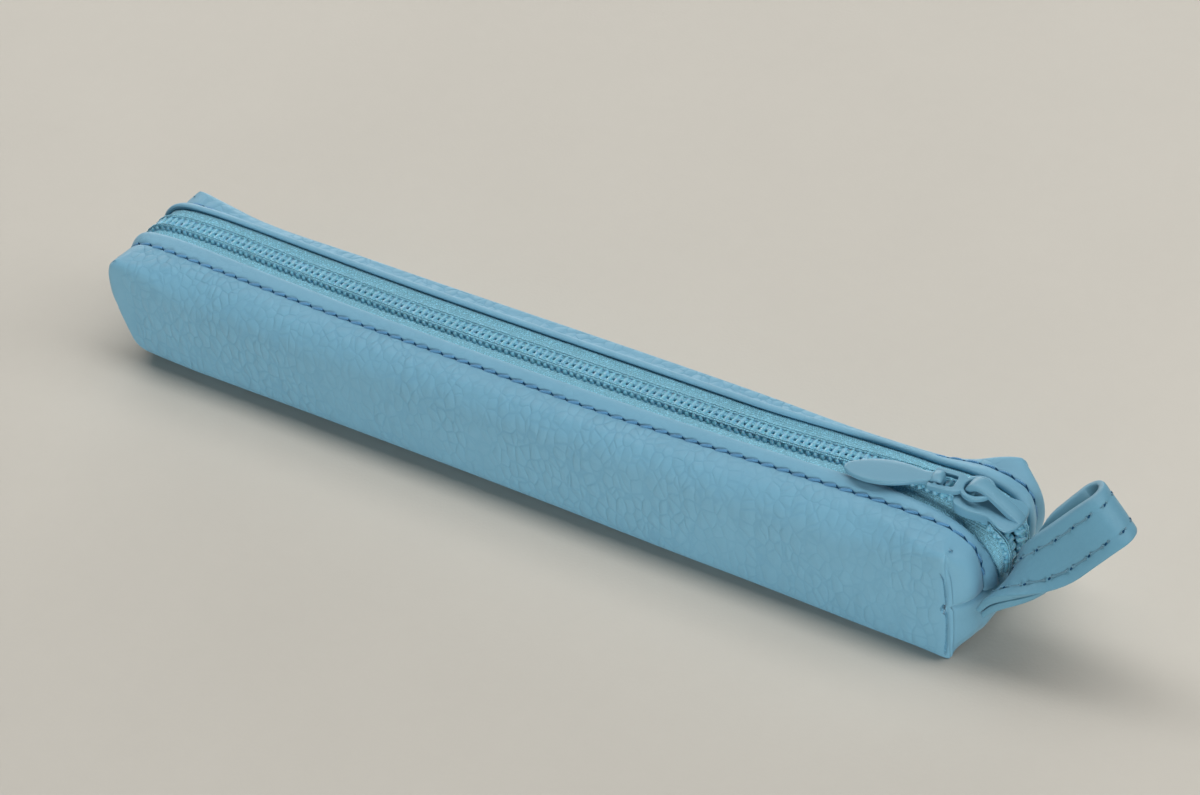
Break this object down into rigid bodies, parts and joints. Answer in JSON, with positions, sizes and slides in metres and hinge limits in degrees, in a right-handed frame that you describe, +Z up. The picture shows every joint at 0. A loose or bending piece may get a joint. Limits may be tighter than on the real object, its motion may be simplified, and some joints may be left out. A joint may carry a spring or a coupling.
{
  "type": "leather pen case",
  "caption": "Slim box-shaped leather pen case with a coil zip over its top and both ends, a slider with link and leaf pull, and a stitched wrist loop at one end.",
  "frame": {"origin": "middle of the flat base of the case, halfway between the corners of its two ends", "axes": "+Z up, +X along the case to the end that carries the wrist loop, -Y to the front wall"},
  "size_m": [0.2324, 0.0296, 0.0348],
  "materials": {
    "shell_leather": "pebbled, soft satin",
    "strap_leather": "pebbled, soft satin, with a painted edge",
    "lining_cloth": "plain woven",
    "zip_tape": "herringbone woven",
    "zip_coil": "satin monofilament",
    "sewing_thread": "twisted thread",
    "slider_paint": "satin paint"
  },
  "bodies": {
    "case": {"leather_shell": "shell_leather", "lining": "lining_cloth", "near_tape_front": "zip_tape", "near_tape_rear": "zip_tape", "near_coil_front": "zip_coil", "near_coil_rear": "zip_coil", "near_topstitch_front": "sewing_thread", "near_topstitch_rear": "sewing_thread", "far_tape_front": "zip_tape", "far_tape_rear": "zip_tape", "far_coil_front": "zip_coil", "far_coil_rear": "zip_coil", "far_topstitch_front": "sewing_thread", "far_topstitch_rear": "sewing_thread"},
    "front_lip": {"lip_band_front": "shell_leather", "zip_tape_front": "zip_tape", "zip_coil_front": "zip_coil", "topstitch_front": "sewing_thread"},
    "rear_lip": {"lip_band_rear": "shell_leather", "zip_tape_rear": "zip_tape", "zip_coil_rear": "zip_coil", "topstitch_rear": "sewing_thread"},
    "slider": {"slider_body": "slider_paint"},
    "link": {"pull_link": "slider_paint"},
    "leaf": {"pull_leaf": "slider_paint"},
    "wrist_loop": {"wrist_strap": "strap_leather", "strap_stitching_lower": "sewing_thread", "strap_stitching_upper": "sewing_thread"}
  },
  "joints": [
    {"name": "front_lip_fold", "type": "hinge", "parent": "case", "child": "front_lip", "pos_m": [0, -0.0086, 0.024], "axis": [-1, 0, 0], "range_deg": [0, 70], "stiffness_Nm_per_rad": 0.02},
    {"name": "rear_lip_fold", "type": "hinge", "parent": "case", "child": "rear_lip", "pos_m": [0, 0.0086, 0.024], "axis": [1, 0, 0], "range_deg": [0, 70], "stiffness_Nm_per_rad": 0.02},
    {"name": "slider_travel", "type": "slide", "parent": "case", "child": "slider", "axis": [-1, 0, 0], "range_m": [0, 0.188]},
    {"name": "link_swing", "type": "hinge", "parent": "slider", "child": "link", "pos_m": [0.0999, 0, 0.0289], "axis": [-0.1219, 0.9925, 0], "range_deg": [0, 100]},
    {"name": "leaf_swing", "type": "hinge", "parent": "link", "child": "leaf", "pos_m": [0.08978, -0.00124, 0.0289], "axis": [-0.1219, 0.9925, 0], "range_deg": [0, 80]},
    {"name": "wrist_loop_swing", "type": "hinge", "parent": "case", "child": "wrist_loop", "pos_m": [0.10599, -0.00663, 0.0125], "axis": [0.2186, 0.9758, 0], "range_deg": [0, 45], "stiffness_Nm_per_rad": 0.02}
  ]
}
